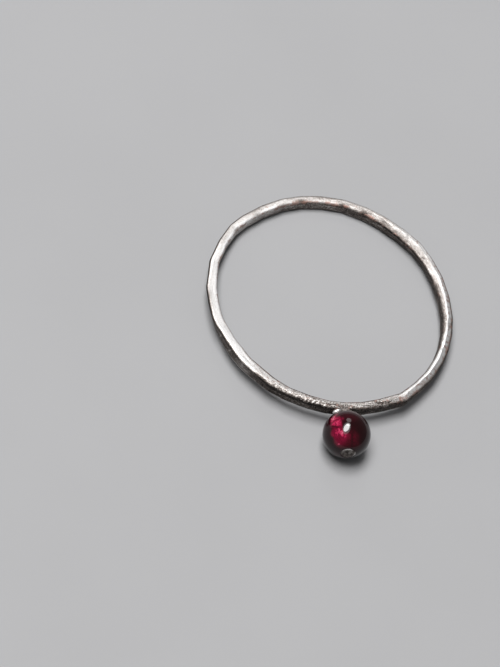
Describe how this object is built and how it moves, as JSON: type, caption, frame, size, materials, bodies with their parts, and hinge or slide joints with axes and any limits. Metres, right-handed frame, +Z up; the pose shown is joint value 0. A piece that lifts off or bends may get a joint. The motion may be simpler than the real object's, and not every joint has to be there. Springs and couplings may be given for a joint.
{
  "type": "stackable ring",
  "caption": "Thin hammered silver ring band with a small round dark red bead standing on a riveted post on its outside.",
  "frame": {"origin": "on the surface the ring lies on, under the middle of its bounding box", "axes": "+Z up, away from the surface it lies on; -Y from the middle of the finger hole towards the bead; +X to the right when the bead points to the viewer"},
  "size_m": [0.0198, 0.0234, 0.0036],
  "materials": {
    "silver": "hammered and brushed sterling silver, darkened in the recesses",
    "garnet": "polished dark red gemstone, nearly black in shade"
  },
  "bodies": {
    "root": {"hammered_band": "silver", "garnet_bead": "garnet"}
  },
  "joints": []
}
